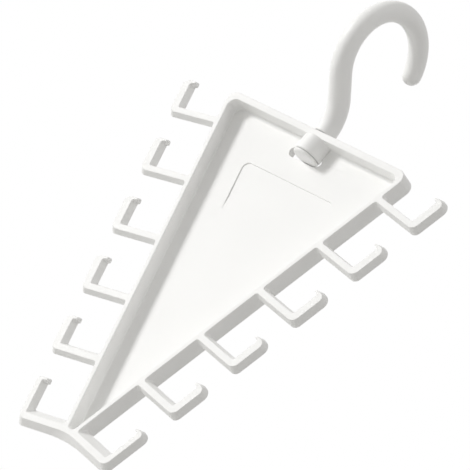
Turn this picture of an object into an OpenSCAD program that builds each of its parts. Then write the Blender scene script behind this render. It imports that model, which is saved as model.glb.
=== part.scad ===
// Tie hanger: a shallow triangular tray with two ranks of J shaped tie arms
// and a round rail hook that swivels in a boss on the top wall.
// The origin is the rail seat, inside the top of the hook. X right, -Y front, Z up.

/* [Tray] */
// Width across the top, measured at the sharp corners
top_w = 125; // [100:1:150]
// Half angle between the two side walls
side_angle = 17.4; // [16:0.1:19]
// Front to back depth of the walls
tray_d = 9.4; // [8:0.1:14]
// Thickness of the floor panel at the back
floor_t = 1.7; // [1:0.1:2.5]
// Thickness of the top wall
top_wall_t = 3.6; // [2.5:0.1:5]
// Thickness of each side wall
side_wall_t = 2.5; // [1.8:0.1:4]
// Outer radius of the two top corners
corner_r = 5; // [4:0.5:8]
// Inner radius of the bottom tip
tip_r = 2.4; // [1.5:0.1:3]

/* [Recess] */
// Depth of the bare recess in the floor
recess_d = 0.5; // [0.2:0.1:0.8]
// Drop from the top of the tray to the recess
recess_drop = 27.2; // [24:0.1:35]
// Height of the recess
recess_h = 31; // [20:1:60]
// Gap between the outer side walls and the recess
recess_gap = 21.5; // [15:0.5:25]
// Corner radius of the recess
recess_r = 3; // [1:0.5:5]

/* [Arms] */
// Arms on each side
arm_count = 6; // [3:1:6]
// Distance from the top corner to the first arm, along the side wall
arm_first = 20.3; // [18:0.1:22]
// Distance from the lowest arm to the sharp tip, along the side wall
arm_tip_gap = 11.6; // [11:0.1:14]
// Extra spacing before the lowest arm
last_extra = 4.2; // [0:0.1:4.2]
// Angle of the arm bars below the horizontal
arm_droop = 9.3; // [6:0.1:12]
// Front width of the top bar
bar_w = 3.1; // [2:0.1:3.5]
// Extra front width of each next bar
bar_w_step = 0.22; // [0:0.01:0.3]
// Depth of the arms
arm_d = 3.8; // [3:0.1:5]
// Depth of the lowest pair of arms
last_arm_d = 6; // [4:0.1:7]
// Widening of the legs and of the bars' lower faces, from front to back
arm_flare = 1.3; // [0.4:0.1:1.8]
// Widening of the top bar's upper face, from front to back
upper_flare = 0.5; // [0.2:0.1:1]
// Extra widening of each next bar's upper face
upper_flare_step = 0.4; // [0:0.05:0.5]
// Clear width of each tie gap at the front
gap_w = 24.4; // [20:0.1:28]
// Front width of the upright legs
leg_w = 4.2; // [3:0.1:5]
// Height of the upright legs at the front
leg_h = 18.5; // [12:0.1:20]
// Inward reach of the lip on each leg
lip_reach = 3; // [2:0.1:4]
// Height of the lip at the front
lip_h = 1.5; // [1.4:0.1:4]
// Outer radius of the bend from bar to leg
bend_r = 4; // [2:0.1:4.5]
// Outer radius of the top of each leg
tip_bend_r = 2.2; // [1:0.1:2.6]

/* [Swivel] */
// Radius of the hook's neck, which turns in the boss
neck_r = 3.6; // [3:0.05:4]
// Radial running clearance round the neck
neck_clearance = 0.08; // [0.03:0.01:0.1]
// Outer radius of the boss
boss_r = 7.2; // [6:0.1:7.4]
// Length of the boss below the top wall
boss_l = 8.9; // [6:0.1:10]
// Radius of the retaining head
head_r = 7; // [5.5:0.1:7.2]
// Length of the retaining head
head_l = 3.2; // [2.5:0.1:5]
// Radius that rounds the lower edge of the head
head_edge_r = 1.6; // [0.5:0.1:2]
// Axial play above the top wall and below the boss
axial_play = 0.3; // [0.2:0.05:0.6]
// Depth of the swivel axis behind the front of the tray
swivel_y = 4.95; // [4.5:0.05:5.5]
// Reach of the window in the floor to the left of the swivel axis
window_left = 15.2; // [10:0.1:16]
// Reach of the window to the right of the swivel axis
window_right = 7.9; // [7.4:0.1:14]
// Height of the window above the boss's lower end
window_rise = 3.3; // [2.8:0.1:5]
// Corner radius of the window
window_r = 3.3; // [1:0.1:3.5]
// Clearance between the retaining head and the window's lower edge
window_clearance = 0.6; // [0.5:0.1:3]

/* [Hook] */
// Radius of the hook's round section at its foot
hook_r = 5.5; // [4.5:0.05:6]
// Radius of the hook's round section at its tip
hook_tip_r = 4.7; // [3.5:0.05:6]
// Inner radius of the crook, which sits on the rail
crook_r = 20.1; // [14:0.1:26]
// Bend radius at the foot of the hook, to the centre of its section
foot_r = 21.6; // [16:0.1:26]
// Angle of the bend at the foot
foot_angle = 52.5; // [40:0.5:60]
// Height of the foot bend above the top wall
foot_rise = 0.7; // [0.7:0.1:4]
// Straight length between the foot bend and the crook
shank_l = 12.2; // [8:0.1:16]
// Angle of the crook's arc
crook_angle = 209.4; // [180:0.1:215]

/* [Hidden] */

// Overshoot of a cutting solid past what it cuts.
over = 1;
// Segments of the round pieces about the swivel axis, and of the hook's section.
corner_fn = 96;
section_fn = 32;
// Steps round a corner of the tray and round the bends of an arm.
corner_steps = 16;
bend_steps = 6;
// Steps along the foot bend, the crook and the dome that ends the hook.
foot_steps = 8;
crook_steps = 36;
dome_steps = 6;
// Size of a lip's small edges and drop of its sloping top.
lip_edge = 0.4;
lip_slope = 0.8;

// The section tapers along the hook. The seat is where the rail bears, at the crook's top.
foot_l = foot_r * foot_angle * PI / 180;
seat_r = hook_r + (hook_tip_r - hook_r) / 2;

// Centre line of the hook in the plane of Y and Z, from the top face of the tray.
crook_mid_r = crook_r + seat_r;
foot_end = [-foot_r * (1 - cos(foot_angle)), foot_rise + foot_r * sin(foot_angle)];
crook_start = foot_end + shank_l * [-sin(foot_angle), cos(foot_angle)];
crook_centre = crook_start + crook_mid_r * [cos(foot_angle), sin(foot_angle)];
crook_from = 180 + foot_angle - crook_angle;
crook_end = crook_centre + crook_mid_r * [cos(crook_from), sin(crook_from)];

// Heights along the swivel axis, from the top face of the tray.
boss_low = -top_wall_t - boss_l;
head_high = boss_low - axial_play;
head_low = head_high - head_l;

// The tray's own frame has its front land at y = 0 and its top face at z = 0.
tray_y = -crook_centre.x - swivel_y;
tray_z = -crook_centre.y - crook_r;
floor_y = tray_d - floor_t;
side_out = [cos(side_angle), -sin(side_angle)];
side_down = [-sin(side_angle), -cos(side_angle)];
arm_rise = tan(side_angle - arm_droop);
side_l = top_w / 2 / sin(side_angle);
arm_pitch = (side_l - arm_first - arm_tip_gap - last_extra) / (arm_count - 1);

module in_tray() {
    translate([0, tray_y, tray_z])
        children();
}

// Front view outline made solid from depth y0 to depth y1.
module slab(y0, y1) {
    translate([0, y1, 0])
        rotate([90, 0, 0])
            linear_extrude(y1 - y0)
                children();
}

// Front view square that keeps what lies between two heights.
module height_band(low, high) {
    translate([-top_w, low])
        square([2 * top_w, high - low]);
}

// Point of the right side: s down the outer face of the wall, off outwards from it.
function wall_point(s, off) = [top_w / 2, 0] + s * side_down + off * side_out;

// Centre of an arc that rounds a corner of the triangle, inside margins on its edges.
function top_centre(top_gap, side_gap, r) =
    [top_w / 2 - (top_gap + r) * tan(side_angle) - (side_gap + r) / cos(side_angle),
     -top_gap - r];
function tip_centre(side_gap, r) =
    [0, -top_w / 2 / tan(side_angle) + (side_gap + r) / sin(side_angle)];

// Arc of points about a centre, from one angle to another.
function arc(centre, r, from, to, steps) =
    [for (k = [0 : steps]) let (a = from + (to - from) * k / steps) centre + r * [cos(a), sin(a)]];

// Triangle with round corners, inside margins on the top edge and the side edges.
module round_triangle(top_gap, side_gap, top_r, low_r) {
    top = top_centre(top_gap, side_gap, top_r);
    tip = tip_centre(side_gap, low_r);
    right = concat(
        arc(top, top_r, 90, -side_angle, corner_steps),
        arc(tip, low_r, -side_angle, side_angle - 90, corner_steps)
    );
    last = len(right) - 1;
    polygon([
        for (p = right) p,
        [tip.x, tip.y - low_r],
        for (k = [last : -1 : 0]) [-right[k].x, right[k].y]
    ]);
}

module inner_outline() {
    round_triangle(top_wall_t, side_wall_t, corner_r - 1, tip_r);
}

// The rim's outline, cut off below along the edge of the lowest arms.
module rim_outline() {
    difference() {
        round_triangle(0, 0, corner_r, tip_r);
        inner_outline();
        height_band(2 * tip_centre(0, 0).y, bar_low(arm_count, 0, 0).y);
    }
}

// Height at which the top wall with its corners ends and the side walls begin.
rim_split = wall_point(0, 0).y - corner_r - corner_r * sin(side_angle);

module swivel_bore() {
    translate([0, swivel_y, head_high - over])
        cylinder(h = -head_high + 2 * over, r = neck_r + neck_clearance, $fn = corner_fn);
}

module rim_top() {
    color("white")
        in_tray()
            difference() {
                slab(0, tray_d)
                    intersection() {
                        rim_outline();
                        height_band(rim_split, over);
                    }
                swivel_bore();
            }
}

// The side walls meet below the tray's inner tip, at x = 0.
module rim_side(side) {
    color("white")
        in_tray()
            slab(0, tray_d)
                intersection() {
                    rim_outline();
                    translate([min(0, side * top_w), 2 * tip_centre(0, 0).y])
                        square([top_w, rim_split - 2 * tip_centre(0, 0).y]);
                }
}

// Window round the boss's lower end and the head, longer to the left of the axis.
module floor_window() {
    low = head_low - window_clearance;
    high = boss_low + window_rise;
    r = min(window_r, (high - low) / 2 - 0.1);
    slab(floor_y - over, tray_d + over)
        polygon(concat(
            arc([-window_left + r, low + r], r, 180, 270, corner_steps),
            arc([window_right - r, low + r], r, 270, 360, corner_steps),
            arc([window_right - r, high - r], r, 0, 90, corner_steps),
            arc([-window_left + r, high - r], r, 90, 180, corner_steps)
        ));
}

module floor_recess() {
    slab(floor_y - over, floor_y + recess_d)
        intersection() {
            round_triangle(recess_drop, recess_gap, recess_r, recess_r);
            height_band(-recess_drop - recess_h, 0);
        }
}

module floor_panel() {
    color("white")
        in_tray()
            difference() {
                slab(floor_y, tray_d)
                    inner_outline();
                floor_window();
                floor_recess();
                boss_body(over);
            }
}

// Cylinder of the boss, from its lower end to a height over the top wall's lower face.
module boss_body(extra) {
    translate([0, swivel_y, boss_low])
        cylinder(h = boss_l + extra, r = boss_r, $fn = corner_fn);
}

// Boss under the top wall, flush with the back of the tray.
module stem_boss() {
    color("white")
        in_tray()
            difference() {
                intersection() {
                    boss_body(0);
                    translate([-boss_r, swivel_y - boss_r, boss_low])
                        cube([2 * boss_r, tray_d - swivel_y + boss_r, boss_l]);
                }
                swivel_bore();
            }
}

// Place along the wall, front width and depth of each arm, counted from the top.
function arm_s(i) = arm_first + arm_pitch * (i - 1) + (i == arm_count ? last_extra : 0);
function arm_w(i) = bar_w + bar_w_step * (i - 1);
function arm_depth(i) = i == arm_count ? last_arm_d : arm_d;

// How far an arm's upper face slopes from front to back, deeper on the lowest arm.
function arm_upper(i) = (upper_flare + upper_flare_step * (i - 1)) * arm_depth(i) / arm_d;

// Points of a bar's lower and upper edges, moved outwards from the section by grow.
function bar_low(i, off, grow) = wall_point(arm_s(i) + grow - off * arm_rise, off);
function bar_high(i, off, grow) = wall_point(arm_s(i) - arm_w(i) - grow - off * arm_rise, off);

// Centre of the bend between a bar's lower edge and its leg's outer edge.
function bend_centre(i) =
    let (off = gap_w + leg_w - bend_r)
    bar_low(i, off, 0) - bend_r / cos(side_angle - arm_droop) * side_down;

// Top of a leg, measured down the wall, with its edges moved outwards by grow.
function leg_tip(i, grow) =
    arm_s(i) - (gap_w + leg_w) * arm_rise - leg_h - (i == arm_count ? last_extra : 0) - grow;

// Outline of an arm: the bar's root, the inner corner, the lip, the top of the leg and
// the bend back to the bar. The share is 0 at the front and 1 at the back.
function arm_outline(i, share) =
    let (
        grow = share * arm_flare,
        rise = share * arm_upper(i),
        inner = gap_w - grow,
        outer = gap_w + leg_w + grow,
        end = inner - lip_reach,
        tip = leg_tip(i, grow),
        low = tip + lip_h + 2 * grow
    )
    concat(
        [
            bar_low(i, 0, grow),
            bar_high(i, 0, rise),
            bar_high(i, inner, rise),
            wall_point(low, inner),
            wall_point(low, end + lip_edge),
            wall_point(low - lip_edge, end),
            wall_point(tip + lip_slope, end),
            wall_point(tip, inner + lip_edge)
        ],
        arc(wall_point(tip + tip_bend_r + grow, outer - tip_bend_r - grow), tip_bend_r + grow,
            90 - side_angle, -side_angle, bend_steps),
        arc(bend_centre(i), bend_r + grow, -side_angle, -90 - arm_droop, bend_steps)
    );

// Convex patches that make up the outline: the bar, the lip and the leg.
arm_last = 7 + 2 * (bend_steps + 1);
arm_patches = [
    [0, 1, 2, arm_last],
    [3, 4, 5, 6, 7],
    concat([2, 3], [for (k = [7 : arm_last]) k])
];

// Solid between a front outline and a back outline with as many points.
module loft(front, back, depth, patches) {
    n = len(front);
    polyhedron(
        points = [
            for (p = front) [p.x, 0, p.y],
            for (p = back) [p.x, depth, p.y]
        ],
        faces = [
            for (patch = patches) [for (k = [len(patch) - 1 : -1 : 0]) patch[k]],
            for (patch = patches) [for (k = patch) n + k],
            for (k = [0 : n - 1]) [k, (k + 1) % n, n + (k + 1) % n],
            for (k = [0 : n - 1]) [k, n + (k + 1) % n, n + k]
        ]
    );
}

module arm(side, i) {
    color("white")
        in_tray()
            mirror([side < 0 ? 1 : 0, 0, 0])
                loft(arm_outline(i, 0), arm_outline(i, 1), arm_depth(i), arm_patches);
}

// Section radius at a length along the hook. It tapers evenly on each side of the seat.
seat_l = foot_l + shank_l + crook_mid_r * (90 + foot_angle) * PI / 180;
rod_l = foot_l + shank_l + crook_mid_r * crook_angle * PI / 180;
function rod_r(l) =
    l < seat_l
        ? hook_r + (seat_r - hook_r) * l / seat_l
        : seat_r + (hook_tip_r - seat_r) * (l - seat_l) / (rod_l - seat_l);

// Stations along the hook, each [y, z, direction, section radius], from the foot up.
hook_stations = [
    [0, axial_play, 90, hook_r],
    for (k = [0 : foot_steps])
        let (a = foot_angle * k / foot_steps)
        [-foot_r * (1 - cos(a)), foot_rise + foot_r * sin(a), 90 + a,
         rod_r(foot_l * k / foot_steps)],
    for (k = [0 : crook_steps])
        let (turn = crook_angle * k / crook_steps, a = 180 + foot_angle - turn)
        [crook_centre.x + crook_mid_r * cos(a), crook_centre.y + crook_mid_r * sin(a),
         a - 90, rod_r(foot_l + shank_l + crook_mid_r * turn * PI / 180)],
    for (k = [1 : dome_steps - 1])
        let (a = 90 * k / dome_steps)
        [crook_end.x + hook_tip_r * sin(a) * cos(crook_from - 90),
         crook_end.y + hook_tip_r * sin(a) * sin(crook_from - 90),
         crook_from - 90, hook_tip_r * cos(a)]
];
hook_pole = crook_end + hook_tip_r * [cos(crook_from - 90), sin(crook_from - 90)];

// Ring of the round section at a station.
function section_ring(station) = [
    for (k = [0 : section_fn - 1])
        let (
            a = 360 * k / section_fn,
            across = station[3] * cos(a),
            side = station[3] * sin(a)
        )
        [side,
         station[0] - across * sin(station[2]),
         station[1] + across * cos(station[2])]
];

// Round rod along the stations, flat at its foot and closed by a pole at its tip.
module hook_rod() {
    rings = len(hook_stations);
    n = section_fn;
    pole = rings * n;
    last = pole - n;
    polyhedron(
        points = concat(
            [for (station = hook_stations) for (p = section_ring(station)) p],
            [[0, hook_pole.x, hook_pole.y]]
        ),
        faces = [
            [for (k = [0 : n - 1]) k],
            for (ring = [0 : rings - 2])
                for (k = [0 : n - 1])
                    let (next = (k + 1) % n, low = ring * n, high = low + n)
                    each [[low + k, high + next, low + next], [low + k, high + k, high + next]],
            for (k = [0 : n - 1]) [last + k, pole, last + (k + 1) % n]
        ]
    );
}

// The hook, its neck and its retaining head are one moulding.
module hook() {
    color("white")
        translate([0, tray_y + swivel_y, tray_z]) {
            hook_rod();
            translate([0, 0, head_high])
                cylinder(h = axial_play + hook_r - head_high, r = neck_r, $fn = corner_fn);
            retaining_head();
        }
}

// Flat on top, with a round lower edge.
module retaining_head() {
    edge = [head_r - head_edge_r, head_edge_r];
    translate([0, 0, head_low])
        rotate_extrude($fn = corner_fn)
            polygon(concat(
                [[0, head_l], [0, 0]],
                arc(edge, head_edge_r, -90, 0, bend_steps),
                [[head_r, head_l]]
            ));
}

floor_panel();
rim_top();
rim_side(-1);  // rim_left
rim_side(1);  // rim_right
stem_boss();
arm(-1, 1);  // arm_left_1
arm(-1, 2);  // arm_left_2
arm(-1, 3);  // arm_left_3
arm(-1, 4);  // arm_left_4
arm(-1, 5);  // arm_left_5
arm(-1, 6);  // arm_left_6
arm(1, 1);  // arm_right_1
arm(1, 2);  // arm_right_2
arm(1, 3);  // arm_right_3
arm(1, 4);  // arm_right_4
arm(1, 5);  // arm_right_5
arm(1, 6);  // arm_right_6
hook();
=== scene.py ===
import math
from contextlib import contextmanager

import bmesh
import bpy
from bpy.props import FloatProperty, FloatVectorProperty, IntProperty, PointerProperty
from bpy.types import Operator, Panel, PropertyGroup
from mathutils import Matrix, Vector


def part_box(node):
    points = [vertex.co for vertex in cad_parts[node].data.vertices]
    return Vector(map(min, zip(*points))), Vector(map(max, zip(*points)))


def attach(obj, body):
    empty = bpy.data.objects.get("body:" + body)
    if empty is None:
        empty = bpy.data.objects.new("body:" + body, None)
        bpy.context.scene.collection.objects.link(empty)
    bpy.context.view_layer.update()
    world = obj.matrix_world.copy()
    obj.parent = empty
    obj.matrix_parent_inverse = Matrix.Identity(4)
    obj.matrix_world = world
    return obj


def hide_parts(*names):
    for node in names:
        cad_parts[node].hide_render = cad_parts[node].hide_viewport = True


bl_info = {
    "name": "Tie Hanger",
    "version": (1, 0, 0),
    "blender": (4, 5, 0),
    "location": "3D View > Sidebar > Tie Hanger",
    "description": "Builds a moulded tie hanger with a swivel hook around its CAD frame",
    "category": "Add Mesh",
}

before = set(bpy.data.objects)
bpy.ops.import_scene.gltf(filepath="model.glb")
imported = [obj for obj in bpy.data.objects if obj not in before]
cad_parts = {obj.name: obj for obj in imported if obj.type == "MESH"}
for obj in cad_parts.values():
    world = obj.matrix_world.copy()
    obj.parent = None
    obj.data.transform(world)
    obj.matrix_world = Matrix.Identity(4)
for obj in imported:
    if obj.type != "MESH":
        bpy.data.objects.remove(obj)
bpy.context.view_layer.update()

MM = 0.001

# The tray's own frame has its front land at y = 0 and its top face at z = 0
TRAY_ORIGIN = Vector((0.0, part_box("rim_top")[0][1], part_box("rim_top")[1][2]))

ARM_NODES = [f"arm_{side}_{i}" for side in ("left", "right") for i in range(1, 7)]
TRAY_NODES = ["floor_panel", "rim_top", "rim_left", "rim_right", "stem_boss"] + ARM_NODES

# How finely corners, bends, edges and turned shapes are divided
CORNER_STEPS = 16
BEND_STEPS = 8
EDGE_STEPS = 4
LATHE_SEGMENTS = 96
FOOT_STEPS = 24
CROOK_STEPS = 96
DOME_STEPS = 12

# Smallest radii, so that no corner folds over and no ring closes to nothing
LEAST_R = 0.04 * MM
POLE_R = 0.02 * MM

# A mitre whose cosine is smaller than this is cut short
LEAST_MITRE = 0.3

# How far a cutter reaches past the surface that it cuts
CUT_OVER = 1 * MM


# ---- Sizes and colours that a user would change ----


def length(name, description, default):
    """Length property with its default in millimetres"""
    return FloatProperty(
        name=name, description=description, default=default * MM,
        min=0.0, unit="LENGTH", precision=5,
    )


def angle(name, description, default):
    """Angle property with its default in degrees"""
    return FloatProperty(
        name=name, description=description, default=math.radians(default), subtype="ANGLE"
    )


class TraySizes(PropertyGroup):
    """Sizes of the shallow tray and of the recess in its floor"""

    top_w: length("Top width", "Width across the top, at the sharp corners", 125)
    side_angle: angle("Side angle", "Half angle between the two side walls", 17.4)
    depth: length("Depth", "Front to back depth of the walls", 9.4)
    floor_t: length("Floor thickness", "Thickness of the floor at the back", 1.7)
    top_wall_t: length("Top wall", "Thickness of the top wall", 3.6)
    side_wall_t: length("Side wall", "Thickness of each side wall", 2.5)
    corner_r: length("Corner radius", "Outer radius of the two top corners", 5)
    inner_corner_r: length("Inner corner", "Inner radius of the two top corners", 4)
    tip_r: length("Tip radius", "Outer radius of the bottom tip", 4.75)
    inner_tip_r: length("Inner tip", "Inner radius of the bottom tip", 2.4)
    edge_r: length("Edge radius", "Radius of the walls' long edges", 0.4)
    fillet_r: length("Floor fillet", "Fillet between the floor and the walls", 0.8)
    recess_d: length("Recess depth", "Depth of the bare recess in the floor", 0.5)
    recess_drop: length("Recess drop", "Drop from the tray's top to the recess", 27.2)
    recess_h: length("Recess height", "Height of the recess", 31)
    recess_gap: length("Recess gap", "Gap between the side walls and the recess", 21.5)
    recess_r: length("Recess radius", "Corner radius of the recess", 3)
    recess_edge: length("Recess slope", "Width of the slope round the recess", 0.35)
    recess_fade: length("Recess fade", "Height over which the recess fades out below", 8)
    window_left: length("Window left", "Reach of the window left of the swivel axis", 13.7)
    window_right: length("Window right", "Reach of the window right of the axis", 7.9)
    window_rise: length("Window rise", "Height of the window above the boss's end", 3.3)
    window_r: length("Window radius", "Corner radius of the window", 3.3)
    collar_w: length("Collar width", "Wall of the collar behind the window", 1.2)
    collar_h: length("Collar height", "Height of the collar behind the floor", 3)


class ArmSizes(PropertyGroup):
    """Sizes of the two ranks of arms"""

    count: IntProperty(
        name="Arms a side", description="Arms on each side", default=6, min=3, max=6
    )
    first: length("First arm", "Distance from the top corner to the first arm", 20.3)
    tip_gap: length("Tip gap", "Distance from the lowest arm to the sharp tip", 11.6)
    last_extra: length("Last extra", "Extra spacing before the lowest arm", 4.2)
    droop: angle("Droop", "Angle of the bars below the horizontal", 9.3)
    bar_w: length("Bar width", "Front width of the top bar", 3.1)
    bar_step: length("Bar step", "Extra front width of each next bar", 0.05)
    depth: length("Arm depth", "Front to back depth of the arms", 3.8)
    last_depth: length("Last depth", "Depth of the lowest pair of arms", 4)
    flare: length("Flare", "Widening of the bars' lower faces to the back", 1.2)
    last_flare: length("Last flare", "Widening of the lowest bars' lower faces", 2.4)
    leg_flare: length("Leg flare", "Widening of the legs to the back", 1.6)
    upper_flare: length("Upper flare", "Widening of the top bar's upper face", 0.9)
    upper_step: length("Upper step", "Extra widening of each next upper face", 0.37)
    last_upper: length("Last upper", "Widening of the lowest bars' upper faces", 4.0)
    gap_w: length("Tie gap", "Clear width of each tie gap at the front", 24.4)
    leg_w: length("Leg width", "Front width of the upright legs", 4.2)
    last_leg_w: length("Last leg", "Front width of the lowest legs", 3.1)
    leg_h: length("Leg height", "Height of the upright legs", 18.5)
    lip_reach: length("Lip reach", "Inward reach of the lip on each leg", 2.8)
    lip_h: length("Lip height", "Height of the lip at the front", 1.5)
    lip_slope: length("Lip slope", "Drop of the lip's sloping top", 0.6)
    lip_r: length("Lip radius", "Radius between leg and lip", 1.3)
    bend_r: length("Bend radius", "Outer radius from bar to leg", 4)
    tip_bend_r: length("Leg end", "Outer radius of the top of each leg", 3.3)
    inner_r: length("Inner radius", "Radius of the inner corner from bar to leg", 1)
    root_r: length("Root fillet", "Fillet between each bar and the wall", 1.4)
    front_edge: length("Front edge", "Radius of the arms' front edges", 0.2)
    back_edge: length("Back edge", "Radius of the arms' back edges", 0.25)
    arch_r: length("Arch radius", "Front radius where the lowest arms meet", 34)
    arch_flare: length("Arch flare", "Growth of the arch's radius to the back", 45)
    arch_drop: length("Arch drop", "Drop from the tray's top to the lowest arms' root", 187.2)


class SwivelSizes(PropertyGroup):
    """Sizes of the boss, the neck and the retaining head"""

    axis_y: length("Axis depth", "Depth of the swivel axis behind the front land", 4.95)
    neck_r: length("Neck radius", "Radius of the hook's neck", 3.6)
    clearance: length("Clearance", "Radial running clearance round the neck", 0.08)
    boss_r: length("Boss radius", "Outer radius of the boss", 7.2)
    boss_l: length("Boss length", "Length of the boss below the top wall", 8.9)
    boss_edge: length("Boss edge", "Radius of the boss's lower edge", 0.9)
    head_r: length("Head radius", "Radius of the retaining head", 7)
    head_room: length("Head room", "Room for the retaining head below the boss", 1.9)
    head_l: length("Head length", "Length of the retaining head", 1.8)
    head_edge: length("Head edge", "Radius of the head's lower edge", 1.5)
    play: length("Axial play", "Play above the top wall and below the boss", 0.3)
    window_gap: length("Window gap", "Clearance below the head in the window", 0.4)


class HookSizes(PropertyGroup):
    """Sizes of the round rail hook"""

    foot_section_r: length("Foot section", "Radius of the round section at the foot", 5.5)
    tip_section_r: length("Tip section", "Radius of the round section at the tip", 4.7)
    crook_r: length("Crook radius", "Inner radius of the crook", 20.1)
    foot_r: length("Foot bend", "Bend radius at the foot, to the section's centre", 21.6)
    foot_angle: angle("Foot angle", "Angle of the bend at the foot", 52.5)
    foot_rise: length("Foot rise", "Height of the foot bend above the top wall", 0.7)
    shank_l: length("Shank", "Straight length between foot bend and crook", 12.2)
    crook_angle: angle("Crook angle", "Angle of the crook's arc", 209.4)
    segments: IntProperty(
        name="Segments", description="Segments round the section", default=72, min=24
    )


class Finish(PropertyGroup):
    """Colour and surface of the moulded plastic"""

    tray_colour: FloatVectorProperty(
        name="Tray colour", description="Colour of the tray's plastic",
        default=(0.93, 0.93, 0.92, 1.0), size=4, min=0.0, max=1.0, subtype="COLOR",
    )
    hook_colour: FloatVectorProperty(
        name="Hook colour", description="Colour of the hook's plastic",
        default=(0.93, 0.93, 0.92, 1.0), size=4, min=0.0, max=1.0, subtype="COLOR",
    )
    roughness: FloatProperty(
        name="Roughness", description="Mean roughness of the satin surface",
        default=0.52, min=0.0, max=1.0, subtype="FACTOR",
    )


# ---- Outlines in the front view: points (x, z) in the tray's own frame ----


def arc(centre, radius, start, end, steps):
    """Points along an arc, with both of its ends"""
    points = []
    for k in range(steps + 1):
        a = start + (end - start) * k / steps
        points.append(centre + radius * Vector((math.cos(a), math.sin(a))))
    return points


def round_corners(corners, steps):
    """Polygon with each (point, radius) corner rounded by a tangent arc"""
    points = []
    n = len(corners)
    for k, (corner, radius) in enumerate(corners):
        if radius <= 0.0:
            points.append(corner)
            continue
        to_last = (corners[k - 1][0] - corner).normalized()
        to_next = (corners[(k + 1) % n][0] - corner).normalized()
        half = to_last.angle(to_next) / 2
        centre = corner + (to_last + to_next).normalized() * radius / math.sin(half)
        start = corner + to_last * radius / math.tan(half) - centre
        end = corner + to_next * radius / math.tan(half) - centre
        first = math.atan2(start.y, start.x)
        turn = math.atan2(end.y, end.x) - first
        turn = (turn + math.pi) % (2 * math.pi) - math.pi
        points += arc(centre, radius, first, first + turn, steps)
    return points


def inset(corners, distance):
    """Clockwise (point, radius) corners moved inwards, with their radii to suit"""
    moved = []
    n = len(corners)
    for k, (point, radius) in enumerate(corners):
        along_last = (point - corners[k - 1][0]).normalized()
        along_next = (corners[(k + 1) % n][0] - point).normalized()
        normal_last = Vector((along_last.y, -along_last.x))
        normal_next = Vector((along_next.y, -along_next.x))
        mitre = (normal_last + normal_next).normalized()
        if radius > 0.0:
            hollow = along_last.x * along_next.y - along_last.y * along_next.x > 0.0
            radius = max(LEAST_R, radius + (distance if hollow else -distance))
        reach = distance / max(LEAST_MITRE, mitre.dot(normal_last))
        moved.append((point + mitre * reach, radius))
    return moved


def round_triangle(sizes, top_gap, side_gap, top_r, low_r):
    """Clockwise outline of the tray inside margins on its top edge and its sides"""
    a = sizes.side_angle
    half = sizes.top_w / 2
    top = Vector((
        half - (top_gap + top_r) * math.tan(a) - (side_gap + top_r) / math.cos(a),
        -top_gap - top_r,
    ))
    tip = Vector((0.0, -half / math.tan(a) + (side_gap + low_r) / math.sin(a)))
    right = arc(top, top_r, math.pi / 2, -a, CORNER_STEPS)
    right += arc(tip, low_r, -a, a - math.pi / 2, CORNER_STEPS)
    left = [Vector((-p.x, p.y)) for p in reversed(right)]
    return right + [Vector((0.0, tip.y - low_r))] + left


def wall_point(sizes, s, off):
    """Point s down the outer face of the right wall, off outwards from it"""
    a = sizes.side_angle
    down = Vector((-math.sin(a), -math.cos(a)))
    out = Vector((math.cos(a), -math.sin(a)))
    return Vector((sizes.top_w / 2, 0.0)) + s * down + off * out


# ---- Meshes ----

# Edges that turn by more than this stay hard
SHARP_FROM = math.radians(38)

# Faces that turn by less than this count as one flat face
FLAT_WITHIN = math.radians(0.2)

# Weight of a face's area in the smooth shading beside it
AREA_WEIGHT = 60


@contextmanager
def open_mesh(mesh):
    """Mesh opened for editing, and written back afterwards"""
    build = bmesh.new()
    build.from_mesh(mesh)
    yield build
    build.to_mesh(mesh)
    build.free()


def new_piece(name, mesh):
    """Object in the scene that shows a mesh"""
    piece = bpy.data.objects.new(name, mesh)
    bpy.context.scene.collection.objects.link(piece)
    return piece


def skin(name, rings):
    """Closed solid over rings of points that follow each other, capped at both ends"""
    mesh = bpy.data.meshes.new(name)
    n = len(rings[0])
    points = [TRAY_ORIGIN + Vector(p) for ring in rings for p in ring]
    last = (len(rings) - 1) * n
    faces = [list(range(n))[::-1], list(range(last, last + n))]
    for low in range(0, last, n):
        high = low + n
        for k in range(n):
            nxt = (k + 1) % n
            faces.append([low + k, low + nxt, high + nxt, high + k])
    mesh.from_pydata(points, [], faces)
    with open_mesh(mesh) as build:
        bmesh.ops.recalc_face_normals(build, faces=build.faces)
    return new_piece(name, mesh)


def at_depth(outline, y):
    """Ring of a front outline at a depth behind the front land"""
    return [(p.x, y, p.y) for p in outline]


def quarter(steps):
    """Pairs (1 - sin, 1 - cos) along a quarter turn, which shape a round edge"""
    turns = [math.pi / 2 * k / steps for k in range(steps + 1)]
    return [(1 - math.sin(t), 1 - math.cos(t)) for t in turns]


def bake_modifiers(piece):
    """Replace a piece's mesh by what its modifiers make of it"""
    shaped = piece.evaluated_get(bpy.context.evaluated_depsgraph_get())
    mesh = bpy.data.meshes.new_from_object(shaped)
    old = piece.data
    piece.modifiers.clear()
    piece.data = mesh
    mesh.name = piece.name
    bpy.data.meshes.remove(old)
    if len(mesh.polygons) == 0:
        raise RuntimeError(piece.name + ": a modifier left no faces")


def combine(piece, tools, operation):
    """Apply boolean operations and delete the tools"""
    for tool in tools:
        step = piece.modifiers.new(tool.name, "BOOLEAN")
        step.operation = operation
        step.solver = "MANIFOLD"
        step.object = tool
    bake_modifiers(piece)
    for tool in tools:
        mesh = tool.data
        bpy.data.objects.remove(tool)
        bpy.data.meshes.remove(mesh)


def keep_level(mesh):
    """Give faces that look straight forwards or back their own normal"""
    normals = [corner.vector.copy() for corner in mesh.corner_normals]
    for face in mesh.polygons:
        if abs(face.normal.y) > math.cos(FLAT_WITHIN):
            for k in face.loop_indices:
                normals[k] = face.normal.copy()
    mesh.normals_split_custom_set(normals)


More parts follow.
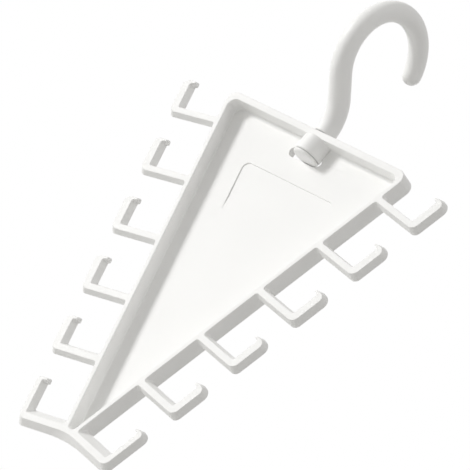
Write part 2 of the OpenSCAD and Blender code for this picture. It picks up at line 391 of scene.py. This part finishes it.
def smooth(piece):
    """Smooth shading that keeps flat faces flat and hard edges hard"""
    with open_mesh(piece.data) as build:
        bmesh.ops.dissolve_limit(
            build, angle_limit=FLAT_WITHIN, verts=build.verts, edges=build.edges,
        )
    mesh = piece.data
    mesh.polygons.foreach_set("use_smooth", [True] * len(mesh.polygons))
    mesh.set_sharp_from_angle(angle=SHARP_FROM)
    weighted = piece.modifiers.new("weighted_normals", "WEIGHTED_NORMAL")
    weighted.keep_sharp = True
    weighted.weight = AREA_WEIGHT
    bake_modifiers(piece)
    keep_level(piece.data)


# ---- The tray's members ----

# Root of the collar inside the floor, and its round outer edge
COLLAR_ROOT = 0.5 * MM
COLLAR_EDGE = 0.3 * MM

# Front end of the recess's cutter, above the floor
RECESS_OVER = 0.2 * MM

# Root of the boss inside the top wall, its round upper edge, and its set-in at the back
BOSS_ROOT = 0.2 * MM
BOSS_TOP_EDGE = 0.3 * MM
BOSS_SET_IN = 0.01 * MM


def tray_shell(tray):
    """Floor and walls of the tray as one shell with round edges"""
    edge = tray.edge_r
    fillet = tray.fillet_r
    floor_y = tray.depth - tray.floor_t

    def inner(k):
        return round_triangle(
            tray, tray.top_wall_t + k, tray.side_wall_t + k,
            tray.inner_corner_r - k, tray.inner_tip_r - k,
        )

    def outer(k):
        return round_triangle(tray, k, k, tray.corner_r - k, tray.tip_r - k)

    rings = []
    for far, near in quarter(EDGE_STEPS):
        rings.append(at_depth(inner(fillet * far), floor_y - fillet * near))
    for far, near in reversed(quarter(EDGE_STEPS)):
        rings.append(at_depth(inner(-edge * far), edge * near))
    for far, near in quarter(EDGE_STEPS):
        rings.append(at_depth(outer(edge * far), edge * near))
    for far, near in reversed(quarter(EDGE_STEPS)):
        rings.append(at_depth(outer(edge * far), tray.depth - edge * near))
    return skin("tray_shell", rings)


def window_outline(tray, swivel, grow):
    """Window round the boss's end and the head, longer to the left of the axis"""
    boss_low = -tray.top_wall_t - swivel.boss_l
    low = boss_low - swivel.play - swivel.head_room - swivel.window_gap - grow
    high = boss_low + tray.window_rise + grow
    left = -tray.window_left - grow
    right = tray.window_right + grow
    spots = [(left, high), (right, high), (right, low), (left, low)]
    return round_corners([(Vector(p), tray.window_r + grow) for p in spots], CORNER_STEPS)


def window_cutter(tray, swivel):
    """Cutter of the window through the floor and the collar"""
    outline = window_outline(tray, swivel, 0.0)
    front = tray.depth - tray.floor_t - CUT_OVER
    back = tray.depth + tray.collar_h + CUT_OVER
    return skin("window", [at_depth(outline, front), at_depth(outline, back)])


def window_collar(tray, swivel):
    """Low collar round the window, behind the floor"""
    root = window_outline(tray, swivel, tray.collar_w)
    rings = [at_depth(root, tray.depth - COLLAR_ROOT)]
    for far, near in reversed(quarter(EDGE_STEPS)):
        outline = window_outline(tray, swivel, tray.collar_w - COLLAR_EDGE * far)
        rings.append(at_depth(outline, tray.depth + tray.collar_h - COLLAR_EDGE * near))
    return skin("collar", rings)


def recess_cutter(tray):
    """Bare recess with sloping sides that fades out at its lower end"""
    floor_y = tray.depth - tray.floor_t
    low = -tray.recess_drop - tray.recess_h

    def outline(grow, floor_z):
        gap = tray.recess_gap - grow
        top = -tray.recess_drop + grow

        def edge_x(z):
            half = tray.top_w / 2 + z * math.tan(tray.side_angle)
            return half - gap / math.cos(tray.side_angle)

        return round_corners([
            (Vector((-edge_x(top), top)), tray.recess_r + grow),
            (Vector((edge_x(top), top)), tray.recess_r + grow),
            (Vector((edge_x(floor_z), floor_z)), 2 * tray.recess_r),
            (Vector((-edge_x(floor_z), floor_z)), 2 * tray.recess_r),
        ], CORNER_STEPS)

    share = RECESS_OVER / tray.recess_d
    wide = outline(tray.recess_edge * (1 + share), low - tray.recess_fade * share)
    deep = outline(0.0, low + tray.recess_fade)
    return skin("recess", [
        at_depth(wide, floor_y - RECESS_OVER),
        at_depth(deep, floor_y + tray.recess_d),
    ])


def lathe_rings(profile, segments, axis_y):
    """Rings about the swivel axis for each (radius, height) of a profile"""
    turns = [2 * math.pi * k / segments for k in range(segments)]
    return [
        [(r * math.cos(t), axis_y + r * math.sin(t), z) for t in turns]
        for r, z in profile
    ]


def boss_solid(tray, swivel):
    """Boss under the top wall, flush with the back of the tray"""
    root = -tray.top_wall_t + BOSS_ROOT
    low = -tray.top_wall_t - swivel.boss_l
    profile = [(POLE_R, root)]
    for far, near in quarter(EDGE_STEPS):
        profile.append((swivel.boss_r - BOSS_TOP_EDGE * far, root - BOSS_TOP_EDGE * near))
    for far, near in reversed(quarter(EDGE_STEPS)):
        profile.append((swivel.boss_r - swivel.boss_edge * far, low + swivel.boss_edge * near))
    profile.append((POLE_R, low))
    boss = skin("boss", lathe_rings(profile, LATHE_SEGMENTS, swivel.axis_y))
    back = TRAY_ORIGIN + Vector((0.0, tray.depth - BOSS_SET_IN, 0.0))
    with open_mesh(boss.data) as build:
        bmesh.ops.bisect_plane(
            build, geom=build.verts[:] + build.edges[:] + build.faces[:], dist=1e-7,
            plane_co=back, plane_no=(0.0, 1.0, 0.0), clear_outer=True,
        )
        rim = [edge for edge in build.edges if edge.is_boundary]
        bmesh.ops.holes_fill(build, edges=rim)
        bmesh.ops.recalc_face_normals(build, faces=build.faces)
    return boss


def bore_cutter(tray, swivel):
    """Cutter of the neck's bore through the boss and the top wall"""
    r = swivel.neck_r + swivel.clearance
    low = -tray.top_wall_t - swivel.boss_l - CUT_OVER
    rings = lathe_rings([(r, low), (r, CUT_OVER)], LATHE_SEGMENTS, swivel.axis_y)
    return skin("bore", rings)


class ArmRank:
    """Place and outline of each arm, counted from the top"""

    # Shares of a leg's flare that its end rises, its lip grows and two radii give up
    END_RISE = 0.9
    LIP_GROWTH = 1.1
    LIP_R_LOSS = 0.6
    BEND_R_LOSS = 0.4

    # Radii below and above the lip's end, as shares of the end's height
    LIP_LOW_R = 0.2
    LIP_HIGH_R = 0.6

    # Place and radius of the turn where the lip's slope becomes the leg's level end
    CREST_OFF = 0.4 * MM
    CREST_R = 3 * MM

    # Most of a leg's width that the radius of its end takes
    END_R_SHARE = 0.7

    # A bar's root inside the wall: its depth, its width beyond the fillet, and the fillet's end
    ROOT_SINK = 1.2 * MM
    ROOT_WIDER = 0.6 * MM
    FILLET_SINK = 0.05 * MM

    def __init__(self, tray, arms):
        self.tray = tray
        self.arms = arms
        self.rise = math.tan(tray.side_angle - arms.droop)
        side_l = tray.top_w / 2 / math.sin(tray.side_angle)
        span = side_l - arms.first - arms.tip_gap - arms.last_extra
        self.pitch = span / (arms.count - 1)

    def is_last(self, i):
        """Whether an arm belongs to the lowest pair, which is joined below the tip"""
        return i == self.arms.count

    def extra(self, i):
        """Extra spacing above an arm, and extra height of its leg"""
        return self.arms.last_extra if self.is_last(i) else 0.0

    def depth(self, i):
        """Front to back depth of an arm"""
        return self.arms.last_depth if self.is_last(i) else self.arms.depth

    def low_s(self, i, off, grow):
        """Place down the wall of a bar's lower edge, off outwards from the wall"""
        s = self.arms.first + self.pitch * (i - 1) + self.extra(i)
        return s + grow - off * self.rise

    def high_s(self, i, off, rise):
        """Place down the wall of a bar's upper edge, off outwards from the wall"""
        width = self.arms.bar_w + self.arms.bar_step * (i - 1)
        return self.low_s(i, off, 0.0) - width - rise

    def leg_w(self, i):
        """Front width of an arm's leg"""
        return self.arms.last_leg_w if self.is_last(i) else self.arms.leg_w

    def low_flare(self, i):
        """Widening of a bar's lower face to the back"""
        return self.arms.last_flare if self.is_last(i) else self.arms.flare

    def high_flare(self, i):
        """Widening of a bar's upper face to the back"""
        if self.is_last(i):
            return self.arms.last_upper
        return self.arms.upper_flare + self.arms.upper_step * (i - 1)

    def leg_corners(self, i, share):
        """Corners from the bar's inner corner over the lip to the outer bend"""
        arms = self.arms
        grow = share * arms.leg_flare
        inner = arms.gap_w - grow
        outer = arms.gap_w + self.leg_w(i) + grow
        lip_end = arms.gap_w - arms.lip_reach
        bend = self.low_s(i, arms.gap_w + arms.leg_w, 0.0)
        high = bend - arms.leg_h - self.extra(i) - self.END_RISE * grow
        low = high + arms.lip_h + self.LIP_GROWTH * grow
        end_h = low - high - arms.lip_slope
        end_r = min(arms.tip_bend_r, self.END_R_SHARE * self.leg_w(i)) + grow
        spots = [
            (self.high_s(i, inner, share * self.high_flare(i)), inner, arms.inner_r),
            (low, inner, arms.lip_r - self.LIP_R_LOSS * grow),
            (low, lip_end, self.LIP_LOW_R * end_h),
            (high + arms.lip_slope, lip_end, self.LIP_HIGH_R * end_h),
            (high, inner + self.CREST_OFF, self.CREST_R),
            (high, outer, end_r),
            (
                self.low_s(i, outer, share * self.low_flare(i)), outer,
                arms.bend_r - self.BEND_R_LOSS * grow,
            ),
        ]
        return [(wall_point(self.tray, s, off), r) for s, off, r in spots]

    def root_corners(self, s, step):
        """Fillet where a bar's edge meets the wall, and the root inside the wall"""
        reach = s + step * (self.arms.root_r + self.ROOT_WIDER)
        return [
            (wall_point(self.tray, reach, -self.ROOT_SINK), 0.0),
            (wall_point(self.tray, reach, -self.FILLET_SINK), 0.0),
            (wall_point(self.tray, s, -self.FILLET_SINK), self.arms.root_r),
        ]

    def corners(self, i, share):
        """Clockwise corners of a right arm; the share is 0 in front and 1 at the back"""
        high = self.root_corners(self.high_s(i, 0.0, share * self.high_flare(i)), -1)
        low = self.root_corners(self.low_s(i, 0.0, share * self.low_flare(i)), 1)
        return high + self.leg_corners(i, share) + low[::-1]

    def arch_corners(self, i, share):
        """Clockwise corners of the lowest pair of arms, which meet below the tip"""
        arms = self.arms
        right = self.root_corners(self.high_s(i, 0.0, share * self.high_flare(i)), -1)
        right += self.leg_corners(i, share)
        start = wall_point(self.tray, self.low_s(i, 0.0, share * self.low_flare(i)), 0.0)
        peak = Vector((0.0, start.y + start.x * math.tan(arms.droop)))
        root = Vector((0.0, -arms.arch_drop))
        left = [(Vector((-p.x, p.y)), r) for p, r in reversed(right)]
        return [(root, 0.0)] + right + [(peak, arms.arch_r + share * arms.arch_flare)] + left


def arm_rings(rank, i, corners):
    """Rings of an arm from its round front edges to its round back edges"""
    depth = rank.depth(i)
    rings = []

    def add_ring(y, margin):
        outline = round_corners(inset(corners(i, y / depth), margin), BEND_STEPS)
        rings.append(at_depth(outline, y))

    edge = rank.arms.front_edge
    for far, near in quarter(EDGE_STEPS):
        add_ring(edge * near, edge * far)
    edge = rank.arms.back_edge
    for far, near in reversed(quarter(EDGE_STEPS)):
        add_ring(depth - edge * near, edge * far)
    return rings


def arm_solids(tray, arms):
    """All arms as solids: pairs down to the last one, and the joined lowest pair"""
    rank = ArmRank(tray, arms)
    solids = []
    for i in range(1, arms.count):
        rings = arm_rings(rank, i, rank.corners)
        solids.append(skin(f"arm_r{i}", rings))
        mirrored = [[(-x, y, z) for x, y, z in ring] for ring in rings]
        solids.append(skin(f"arm_l{i}", mirrored))
    solids.append(skin("arch", arm_rings(rank, arms.count, rank.arch_corners)))
    return solids


# ---- The hook ----

# Crown of the head's lower face: its rise at the edge and halfway, and the round upper edge
HEAD_CROWN = 0.25 * MM
HEAD_MID_RISE = 0.06 * MM
HEAD_TOP_EDGE = 0.3 * MM


def stem_profile(tray, swivel, hook):
    """Profile (radius, height) of the head, the neck and the hook's round foot"""
    head_high = -tray.top_wall_t - swivel.boss_l - swivel.play
    head_low = head_high - swivel.head_l
    foot_low = swivel.play
    foot_edge = hook.foot_rise - foot_low
    profile = [(POLE_R, head_low), (swivel.head_r / 2, head_low + HEAD_MID_RISE)]
    for far, near in reversed(quarter(2 * EDGE_STEPS)):
        rise = (swivel.head_edge - HEAD_CROWN) * far + HEAD_CROWN
        profile.append((swivel.head_r - swivel.head_edge * near, head_low + rise))
    for far, near in quarter(EDGE_STEPS):
        profile.append((swivel.head_r - HEAD_TOP_EDGE * near, head_high - HEAD_TOP_EDGE * far))
    profile.append((swivel.neck_r, head_high))
    profile.append((swivel.neck_r, foot_low))
    for far, near in quarter(EDGE_STEPS):
        profile.append((hook.foot_section_r - foot_edge * far, foot_low + foot_edge * near))
    return profile


class HookRod:
    """Course and section of the hook's rod: foot bend, straight shank, crook and dome"""

    def __init__(self, hook):
        self.hook = hook
        self.seat_r = (hook.foot_section_r + hook.tip_section_r) / 2
        self.mid_r = hook.crook_r + self.seat_r
        self.crook_from = hook.foot_r * hook.foot_angle + hook.shank_l
        self.seat = self.crook_from + self.mid_r * (math.pi / 2 + hook.foot_angle)
        self.end = self.crook_from + self.mid_r * hook.crook_angle

    def section_r(self, along):
        """Radius of the round section at a length along the rod"""
        hook = self.hook
        if along < self.seat:
            share = along / self.seat
            return hook.foot_section_r + (self.seat_r - hook.foot_section_r) * share
        share = (along - self.seat) / (self.end - self.seat)
        return self.seat_r + (hook.tip_section_r - self.seat_r) * share

    def foot_point(self, turn):
        """Point (y, z) on the foot bend after a turn"""
        r = self.hook.foot_r
        return Vector((-r * (1 - math.cos(turn)), self.hook.foot_rise + r * math.sin(turn)))

    def crook_centre(self):
        """Centre (y, z) of the crook, beside the end of the straight shank"""
        a = self.hook.foot_angle
        along = Vector((-math.sin(a), math.cos(a)))
        across = Vector((math.cos(a), math.sin(a)))
        return self.foot_point(a) + self.hook.shank_l * along + self.mid_r * across

    def stations(self):
        """Places (point, heading, radius) of the rod's sections up to the domed tip"""
        hook = self.hook
        places = []
        for k in range(1, FOOT_STEPS + 1):
            turn = hook.foot_angle * k / FOOT_STEPS
            radius = self.section_r(hook.foot_r * turn)
            places.append((self.foot_point(turn), math.pi / 2 + turn, radius))
        centre = self.crook_centre()
        for k in range(CROOK_STEPS + 1):
            turn = hook.crook_angle * k / CROOK_STEPS
            a = math.pi + hook.foot_angle - turn
            point = centre + self.mid_r * Vector((math.cos(a), math.sin(a)))
            radius = self.section_r(self.crook_from + self.mid_r * turn)
            places.append((point, a - math.pi / 2, radius))
        end, heading, radius = places[-1]
        ahead = Vector((math.cos(heading), math.sin(heading)))
        for k in range(1, DOME_STEPS + 1):
            a = math.pi / 2 * k / DOME_STEPS
            point = end + hook.tip_section_r * math.sin(a) * ahead
            places.append((point, heading, max(POLE_R, hook.tip_section_r * math.cos(a))))
        return places


def hook_rings(tray, swivel, hook):
    """Rings of the whole hook moulding, from the head to the domed tip"""
    turns = [2 * math.pi * k / hook.segments for k in range(hook.segments)]

    def ring(point, heading, radius):
        across = Vector((math.sin(heading), -math.cos(heading)))
        spots = [point + radius * math.sin(t) * across for t in turns]
        return [
            (radius * math.cos(t), swivel.axis_y + spot.x, spot.y)
            for t, spot in zip(turns, spots)
        ]

    profile = stem_profile(tray, swivel, hook)
    stem = [ring(Vector((0.0, z)), math.pi / 2, r) for r, z in profile]
    rod = [ring(*place) for place in HookRod(hook).stations()]
    return stem + rod


# ---- Materials ----

# Inputs of the moulded surface with their defaults
SURFACE_INPUTS = {
    "Drift": 0.02,
    "Roughness": 0.52,
    "Gloss Variation": 0.08,
    "Scuffs": 0.04,
    "Grain Scale": 1600.0,
    "Flow Scale": 45.0,
}

# Light scuffs: noise above a level, spread to the full range
SCUFF_SCALE = 260.0
SCUFF_LEVEL = 0.58
SCUFF_GAIN = 6.0

# Shares of the slow flow and of the fine grain in the relief
FLOW_SHARE = 0.35
GRAIN_SHARE = 0.65

# The Mix node's colour sockets share their names with other ones, so they go by number
MIX_A = 6
MIX_B = 7
MIX_COLOUR = 2

PLASTIC_IOR = 1.49
GRAIN_DEPTH = 0.05 * MM

# Colour drift and relief of each moulding, and how much glossier the hook is
TRAY_DRIFT = 0.02
TRAY_RELIEF = 0.25
HOOK_DRIFT = 0.015
HOOK_RELIEF = 0.2
HOOK_GLOSS = 0.04


def link(tree, out_socket, in_socket):
    """Lead one socket into another"""
    tree.links.new(out_socket, in_socket)


def feed(tree, value, in_socket):
    """Set a socket to a number, or lead another socket into it"""
    if isinstance(value, float):
        in_socket.default_value = value
    else:
        link(tree, value, in_socket)


def maths(tree, operation, *values):
    """Output of a Math node over numbers and sockets"""
    node = tree.nodes.new("ShaderNodeMath")
    node.operation = operation
    for value, in_socket in zip(values, node.inputs):
        feed(tree, value, in_socket)
    return node.outputs[0]


def noise(tree, place, scale, detail, roughness=0.5, distortion=0.0):
    """Output of a Noise node over a place"""
    node = tree.nodes.new("ShaderNodeTexNoise")
    node.inputs["Detail"].default_value = detail
    node.inputs["Roughness"].default_value = roughness
    node.inputs["Distortion"].default_value = distortion
    link(tree, place, node.inputs["Vector"])
    feed(tree, scale, node.inputs["Scale"])
    return node.outputs["Fac"]


def mix_shaders(tree, share, first, second):
    """Output of a Mix Shader node"""
    mix = tree.nodes.new("ShaderNodeMixShader")
    link(tree, share, mix.inputs[0])
    link(tree, first, mix.inputs[1])
    link(tree, second, mix.inputs[2])
    return mix.outputs[0]


def surface_group():
    """Shader group: faint colour drift, uneven gloss and fine moulded grain"""
    name = "moulded_surface"
    if name in bpy.data.node_groups:
        return bpy.data.node_groups[name]
    group = bpy.data.node_groups.new(name, "ShaderNodeTree")
    face = group.interface
    face.new_socket("Colour", in_out="INPUT", socket_type="NodeSocketColor")
    for label, value in SURFACE_INPUTS.items():
        socket = face.new_socket(label, in_out="INPUT", socket_type="NodeSocketFloat")
        socket.default_value = value
    face.new_socket("Colour", in_out="OUTPUT", socket_type="NodeSocketColor")
    face.new_socket("Roughness", in_out="OUTPUT", socket_type="NodeSocketFloat")
    face.new_socket("Height", in_out="OUTPUT", socket_type="NodeSocketFloat")

    nodes = group.nodes
    given = nodes.new("NodeGroupInput").outputs
    result = nodes.new("NodeGroupOutput").inputs
    place = nodes.new("ShaderNodeTexCoord").outputs["Object"]
    flow = noise(group, place, given["Flow Scale"], detail=2.0)
    grain = noise(group, place, given["Grain Scale"], detail=3.0, roughness=0.6)
    scuffs = noise(group, place, SCUFF_SCALE, detail=6.0, distortion=1.5)
    scuffs = maths(group, "SUBTRACT", scuffs, SCUFF_LEVEL)
    scuffs = maths(group, "MAXIMUM", scuffs, 0.0)
    scuffs = maths(group, "MULTIPLY", scuffs, SCUFF_GAIN)
    scuffs = maths(group, "MINIMUM", scuffs, 1.0)

    centred = maths(group, "SUBTRACT", flow, 0.5)
    shade = maths(group, "MULTIPLY_ADD", centred, given["Drift"], 1.0)
    grey = nodes.new("ShaderNodeCombineColor")
    for channel in ("Red", "Green", "Blue"):
        link(group, shade, grey.inputs[channel])
    tint = nodes.new("ShaderNodeMix")
    tint.data_type = "RGBA"
    tint.blend_type = "MULTIPLY"
    tint.inputs["Factor"].default_value = 1.0
    link(group, given["Colour"], tint.inputs[MIX_A])
    link(group, grey.outputs[0], tint.inputs[MIX_B])
    link(group, tint.outputs[MIX_COLOUR], result["Colour"])

    wander = maths(group, "MULTIPLY", centred, given["Gloss Variation"])
    scuffed = maths(group, "MULTIPLY_ADD", scuffs, given["Scuffs"], wander)
    link(group, maths(group, "ADD", given["Roughness"], scuffed), result["Roughness"])

    soft = maths(group, "MULTIPLY", flow, FLOW_SHARE)
    height = maths(group, "MULTIPLY_ADD", grain, GRAIN_SHARE, soft)
    link(group, height, result["Height"])
    return group


def plastic(name, colour, roughness, drift, relief):
    """White satin moulded plastic"""
    material = bpy.data.materials.new(name)
    material.use_nodes = True
    material.diffuse_color = colour
    tree = material.node_tree
    shader = tree.nodes["Principled BSDF"]
    shader.inputs["IOR"].default_value = PLASTIC_IOR
    surface = tree.nodes.new("ShaderNodeGroup")
    surface.node_tree = surface_group()
    surface.inputs["Colour"].default_value = colour
    surface.inputs["Roughness"].default_value = roughness
    surface.inputs["Drift"].default_value = drift
    link(tree, surface.outputs["Colour"], shader.inputs["Base Color"])
    link(tree, surface.outputs["Roughness"], shader.inputs["Roughness"])
    bump = tree.nodes.new("ShaderNodeBump")
    bump.inputs["Strength"].default_value = relief
    bump.inputs["Distance"].default_value = GRAIN_DEPTH
    link(tree, surface.outputs["Height"], bump.inputs["Height"])
    link(tree, bump.outputs["Normal"], shader.inputs["Normal"])
    return material


# ---- Stage: camera, lamps, floor and background ----

# The camera's place from the tray's origin, its turn in degrees, its lens and sensor in
# millimetres and the range it sees, all fitted to the places of tray, arms and crook
CAMERA_SPOT = Vector((1.425998, -1.505177, -0.573485))
CAMERA_TURN = (107.706, -38.440, 32.194)
CAMERA_LENS = 350.28
CAMERA_SENSOR = 36.0
CAMERA_NEAR = 0.05
CAMERA_FAR = 30.0

# Middle of the object, which the lamps face
STAGE_CENTRE = Vector((0.0, 0.0, -0.12))

# Each lamp's name, direction, distance, size and power
LAMPS = (
    ("key", (-0.75, -0.64, 0.13), 4.0, 0.9, 92.0),
    ("top", (0.50, -0.22, 0.84), 3.0, 1.5, 12.0),
    ("back", (-0.15, 0.98, 0.12), 4.0, 2.0, 22.0),
)

WHITE = (1.0, 1.0, 1.0, 1.0)
ROOM_COLOUR = (1.0, 0.985, 0.96, 1.0)
ROOM_STRENGTH = 0.42

FLOOR_Z = -1.5
FLOOR_HALF = 6.0
FLOOR_COLOUR = (0.86, 0.86, 0.85, 1.0)
FLOOR_ROUGHNESS = 0.9
FLOOR_GLOW = 0.45


def add_camera():
    """Camera at the photo's angle"""
    data = bpy.data.cameras.new("camera")
    data.lens = CAMERA_LENS
    data.sensor_width = CAMERA_SENSOR
    data.clip_start = CAMERA_NEAR
    data.clip_end = CAMERA_FAR
    camera = bpy.data.objects.new("camera", data)
    camera.location = TRAY_ORIGIN + CAMERA_SPOT
    camera.rotation_euler = [math.radians(a) for a in CAMERA_TURN]
    bpy.context.scene.collection.objects.link(camera)
    bpy.context.scene.camera = camera


def add_lamp(name, towards, distance, size, power):
    """Round area lamp that stands off the object in a direction and faces it"""
    data = bpy.data.lights.new(name, "AREA")
    data.shape = "DISK"
    data.size = size
    data.energy = power
    lamp = bpy.data.objects.new(name, data)
    away = Vector(towards).normalized()
    lamp.location = STAGE_CENTRE + distance * away
    lamp.rotation_euler = away.to_track_quat("Z", "Y").to_euler()
    bpy.context.scene.collection.objects.link(lamp)


def set_world():
    """Soft room light, with plain white for camera, glossy and transmission rays"""
    world = bpy.data.worlds.new("soft_room")
    bpy.context.scene.world = world
    world.use_nodes = True
    tree = world.node_tree
    tree.nodes.clear()
    room = tree.nodes.new("ShaderNodeBackground")
    room.inputs["Color"].default_value = ROOM_COLOUR
    room.inputs["Strength"].default_value = ROOM_STRENGTH
    white = tree.nodes.new("ShaderNodeBackground")
    white.inputs["Color"].default_value = WHITE
    white.inputs["Strength"].default_value = 1.0
    rays = tree.nodes.new("ShaderNodeLightPath").outputs
    other = maths(tree, "MAXIMUM", rays["Is Glossy Ray"], rays["Is Transmission Ray"])
    seen = maths(tree, "MAXIMUM", rays["Is Camera Ray"], other)
    shown = mix_shaders(tree, seen, room.outputs[0], white.outputs[0])
    out = tree.nodes.new("ShaderNodeOutputWorld")
    link(tree, shown, out.inputs["Surface"])


def floor_finish():
    """Pale matt floor that glows a little to the camera and is clear from below"""
    material = bpy.data.materials.new("pale_floor")
    material.use_nodes = True
    tree = material.node_tree
    shader = tree.nodes["Principled BSDF"]
    shader.inputs["Base Color"].default_value = FLOOR_COLOUR
    shader.inputs["Roughness"].default_value = FLOOR_ROUGHNESS
    shader.inputs["Emission Color"].default_value = WHITE
    rays = tree.nodes.new("ShaderNodeLightPath")
    glow = maths(tree, "MULTIPLY", rays.outputs["Is Camera Ray"], FLOOR_GLOW)
    link(tree, glow, shader.inputs["Emission Strength"])
    below = tree.nodes.new("ShaderNodeNewGeometry").outputs["Backfacing"]
    clear = tree.nodes.new("ShaderNodeBsdfTransparent")
    shown = mix_shaders(tree, below, shader.outputs[0], clear.outputs[0])
    link(tree, shown, tree.nodes["Material Output"].inputs["Surface"])
    return material


def add_floor():
    """Square floor under the object, which keeps its shadow"""
    half = FLOOR_HALF
    mesh = bpy.data.meshes.new("floor")
    corners = [(-half, -half), (half, -half), (half, half), (-half, half)]
    mesh.from_pydata([(x, y, FLOOR_Z) for x, y in corners], [], [(0, 1, 2, 3)])
    mesh.materials.append(floor_finish())
    new_piece("floor", mesh)


# ---- Operators, one for each moulding and one for the stage ----


class HANGER_OT_tray(Operator):
    """Build the tray moulding with its arms and its boss"""

    bl_idname = "hanger.tray"
    bl_label = "Tray moulding"

    def execute(self, context):
        scene = context.scene
        tray = scene.hanger_tray
        swivel = scene.hanger_swivel
        piece = tray_shell(tray)
        piece.name = "tray_moulding"
        combine(piece, [window_collar(tray, swivel)], "UNION")
        combine(piece, [window_cutter(tray, swivel), recess_cutter(tray)], "DIFFERENCE")
        members = [boss_solid(tray, swivel)] + arm_solids(tray, scene.hanger_arms)
        combine(piece, members, "UNION")
        combine(piece, [bore_cutter(tray, swivel)], "DIFFERENCE")
        smooth(piece)
        finish = scene.hanger_finish
        piece.data.materials.clear()
        piece.data.materials.append(plastic(
            "tray_plastic_white", finish.tray_colour, finish.roughness,
            TRAY_DRIFT, TRAY_RELIEF,
        ))
        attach(piece, "tray")
        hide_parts(*TRAY_NODES)
        return {"FINISHED"}


class HANGER_OT_hook(Operator):
    """Build the hook moulding with its neck and its retaining head"""

    bl_idname = "hanger.hook"
    bl_label = "Hook moulding"

    def execute(self, context):
        scene = context.scene
        rings = hook_rings(scene.hanger_tray, scene.hanger_swivel, scene.hanger_hook)
        piece = skin("hook_moulding", rings)
        smooth(piece)
        finish = scene.hanger_finish
        piece.data.materials.append(plastic(
            "hook_plastic_white", finish.hook_colour, finish.roughness - HOOK_GLOSS,
            HOOK_DRIFT, HOOK_RELIEF,
        ))
        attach(piece, "hook")
        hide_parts("hook")
        return {"FINISHED"}


class HANGER_OT_stage(Operator):
    """Set up the camera, the lamps, the pale floor and the white background"""

    bl_idname = "hanger.stage"
    bl_label = "Stage"

    def execute(self, context):
        context.scene.view_settings.view_transform = "Standard"
        set_world()
        add_floor()
        for lamp in LAMPS:
            add_lamp(*lamp)
        add_camera()
        return {"FINISHED"}


class HANGER_PT_panel(Panel):
    """Sidebar panel with the hanger's sizes and its build steps"""

    bl_idname = "HANGER_PT_panel"
    bl_label = "Tie Hanger"
    bl_space_type = "VIEW_3D"
    bl_region_type = "UI"
    bl_category = "Tie Hanger"

    def draw(self, context):
        """List the build steps and, below them, the sizes"""
        layout = self.layout
        for operator in OPERATORS:
            layout.operator(operator.bl_idname)
        for name, (group, label) in GROUPS.items():
            box = layout.box()
            box.label(text=label)
            sizes = getattr(context.scene, name)
            for field in group.__annotations__:
                box.prop(sizes, field)


OPERATORS = (HANGER_OT_tray, HANGER_OT_hook, HANGER_OT_stage)
GROUPS = {
    "hanger_tray": (TraySizes, "Tray"),
    "hanger_arms": (ArmSizes, "Arms"),
    "hanger_swivel": (SwivelSizes, "Swivel"),
    "hanger_hook": (HookSizes, "Hook"),
    "hanger_finish": (Finish, "Finish"),
}
CLASSES = tuple(group for group, label in GROUPS.values()) + OPERATORS + (HANGER_PT_panel,)


def register():
    """Register the classes and give the scene its sizes"""
    for item in CLASSES:
        bpy.utils.register_class(item)
    for name, (group, label) in GROUPS.items():
        setattr(bpy.types.Scene, name, PointerProperty(type=group))


def unregister():
    """Take the sizes and the classes away again"""
    for name in GROUPS:
        delattr(bpy.types.Scene, name)
    for item in reversed(CLASSES):
        bpy.utils.unregister_class(item)


def main():
    """Build the hanger on its stage"""
    register()
    bpy.ops.hanger.stage()
    bpy.ops.hanger.tray()
    bpy.ops.hanger.hook()


if __name__ == "__main__":
    main()
